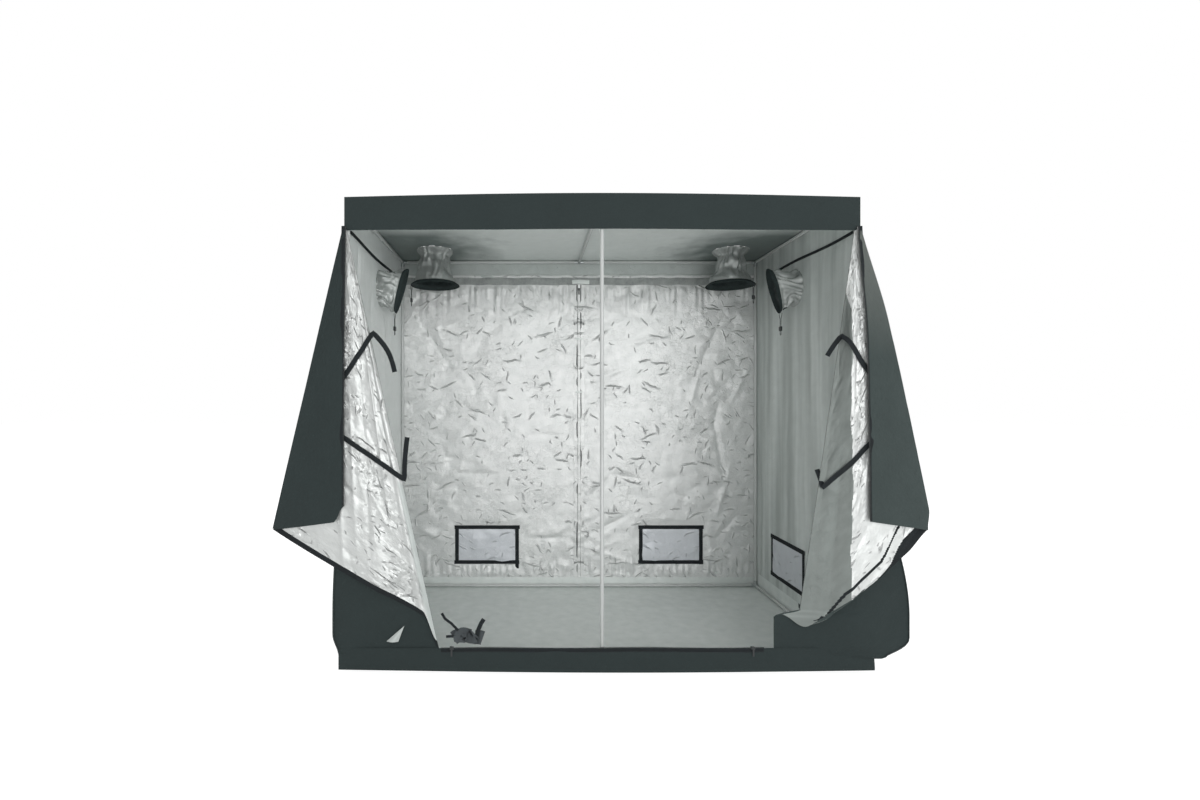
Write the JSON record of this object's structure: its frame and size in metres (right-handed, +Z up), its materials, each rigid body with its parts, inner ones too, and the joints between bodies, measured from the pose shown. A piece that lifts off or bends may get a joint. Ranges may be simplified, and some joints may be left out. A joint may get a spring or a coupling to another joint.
{
  "type": "indoor grow tent",
  "caption": "Wide indoor grow tent: tube frame, black cover with a silver film lining, two tied-back front doors, duct sleeves, screened vents and a floor tray.",
  "frame": {"origin": "middle of the floor's underside, where the tent stands", "axes": "+X along the long side to the right seen from the door side, +Y from the door side to the back wall, +Z up"},
  "size_m": [3.0582, 1.2587, 2.2],
  "materials": {
    "black_oxford": "coated polyester Oxford cloth, black outside and silver film inside",
    "silver_film": "silver mylar film laminated on Oxford cloth, crinkled",
    "white_powder_coat": "white powder coat on steel tube",
    "steel_fitting": "white powder coat on welded steel fittings",
    "black_webbing": "woven polyester webbing",
    "black_cord": "braided polyester cord",
    "black_plastic": "moulded black plastic"
  },
  "bodies": {
    "tent": {"top_corner_fitting_front_left": "steel_fitting", "top_corner_fitting_front_right": "steel_fitting", "top_corner_fitting_back_left": "steel_fitting", "top_corner_fitting_back_right": "steel_fitting", "bottom_corner_fitting_front_left": "steel_fitting", "bottom_corner_fitting_front_right": "steel_fitting", "bottom_corner_fitting_back_left": "steel_fitting", "bottom_corner_fitting_back_right": "steel_fitting", "top_middle_fitting_front": "steel_fitting", "top_middle_fitting_back": "steel_fitting", "bottom_middle_fitting_front": "steel_fitting", "corner_upright_front_left": "white_powder_coat", "top_rail_front_left": "white_powder_coat", "corner_upright_front_right": "white_powder_coat", "top_rail_front_right": "white_powder_coat", "corner_upright_back_left": "white_powder_coat", "top_rail_back_left": "white_powder_coat", "corner_upright_back_right": "white_powder_coat", "top_rail_back_right": "white_powder_coat", "top_rail_left": "white_powder_coat", "bottom_rail_left": "white_powder_coat", "bottom_rail_front_left": "white_powder_coat", "top_rail_right": "white_powder_coat", "bottom_rail_right": "white_powder_coat", "bottom_rail_front_right": "white_powder_coat", "bottom_rail_back": "white_powder_coat", "front_pole": "white_powder_coat", "roof_crossbar": "white_powder_coat", "roof": "black_oxford", "back_wall": "black_oxford", "left_wall": "black_oxford", "right_wall": "black_oxford", "floor_tray": "black_oxford", "left_gusset": "black_oxford", "right_gusset": "black_oxford", "roof_sleeve_left": "silver_film", "roof_drawstring_left": "black_cord", "wall_sleeve_left": "silver_film", "wall_drawstring_left": "black_cord", "roof_sleeve_right": "silver_film", "roof_drawstring_right": "black_cord", "wall_sleeve_right": "silver_film", "wall_drawstring_right": "black_cord"},
    "left_door": {"left_door": "black_oxford", "left_upper_tie": "black_webbing", "left_lower_tie": "black_webbing"},
    "back_vent_cover_left": {"back_vent_cover_left": "silver_film"},
    "side_vent_cover_left": {"side_vent_cover_left": "silver_film"},
    "roof_cord_lock_left": {"roof_cord_lock_left": "black_plastic"},
    "wall_cord_lock_left": {"wall_cord_lock_left": "black_plastic"},
    "sill_zip_slider_left": {"sill_zip_slider_left": "black_plastic"},
    "right_door": {"right_door": "black_oxford", "right_upper_tie": "black_webbing", "right_lower_tie": "black_webbing"},
    "back_vent_cover_right": {"back_vent_cover_right": "silver_film"},
    "side_vent_cover_right": {"side_vent_cover_right": "silver_film"},
    "roof_cord_lock_right": {"roof_cord_lock_right": "black_plastic"},
    "wall_cord_lock_right": {"wall_cord_lock_right": "black_plastic"},
    "sill_zip_slider_right": {"sill_zip_slider_right": "black_plastic"},
    "back_zip_slider": {"back_zip_slider": "black_plastic"}
  },
  "joints": [
    {"name": "left_door_swing", "type": "hinge", "parent": "tent", "child": "left_door", "pos_m": [-0.98, -0.6013, 1.102], "axis": [-0.2145, 0, 0.9767], "range_deg": [0, 100]},
    {"name": "back_vent_cover_left_lift", "type": "hinge", "parent": "tent", "child": "back_vent_cover_left", "pos_m": [-0.62, 0.5947, 0.415], "axis": [-1, 0, 0], "range_deg": [0, 150]},
    {"name": "side_vent_cover_left_lift", "type": "hinge", "parent": "tent", "child": "side_vent_cover_left", "pos_m": [-1.1947, 0.14, 0.415], "axis": [0, -1, 0], "range_deg": [0, 150]},
    {"name": "roof_cord_lock_left_slide", "type": "slide", "parent": "tent", "child": "roof_cord_lock_left", "axis": [0, 0, 1], "range_m": [0, 0.035]},
    {"name": "wall_cord_lock_left_slide", "type": "slide", "parent": "tent", "child": "wall_cord_lock_left", "axis": [0, 0, 1], "range_m": [0, 0.035]},
    {"name": "sill_zip_slider_left_slide", "type": "slide", "parent": "tent", "child": "sill_zip_slider_left", "axis": [1, 0, 0], "range_m": [0, 0.66]},
    {"name": "right_door_swing", "type": "hinge", "parent": "tent", "child": "right_door", "pos_m": [0.98, -0.6013, 1.102], "axis": [-0.2145, 0, -0.9767], "range_deg": [0, 100]},
    {"name": "back_vent_cover_right_lift", "type": "hinge", "parent": "tent", "child": "back_vent_cover_right", "pos_m": [0.62, 0.5947, 0.415], "axis": [-1, 0, 0], "range_deg": [0, 150]},
    {"name": "side_vent_cover_right_lift", "type": "hinge", "parent": "tent", "child": "side_vent_cover_right", "pos_m": [1.1947, 0.14, 0.415], "axis": [0, 1, 0], "range_deg": [0, 150]},
    {"name": "roof_cord_lock_right_slide", "type": "slide", "parent": "tent", "child": "roof_cord_lock_right", "axis": [0, 0, 1], "range_m": [0, 0.035]},
    {"name": "wall_cord_lock_right_slide", "type": "slide", "parent": "tent", "child": "wall_cord_lock_right", "axis": [0, 0, 1], "range_m": [0, 0.035]},
    {"name": "sill_zip_slider_right_slide", "type": "slide", "parent": "tent", "child": "sill_zip_slider_right", "axis": [-1, 0, 0], "range_m": [0, 0.66]},
    {"name": "back_zip_slider_slide", "type": "slide", "parent": "tent", "child": "back_zip_slider", "axis": [0, 0, -1], "range_m": [0, 1.85]}
  ]
}
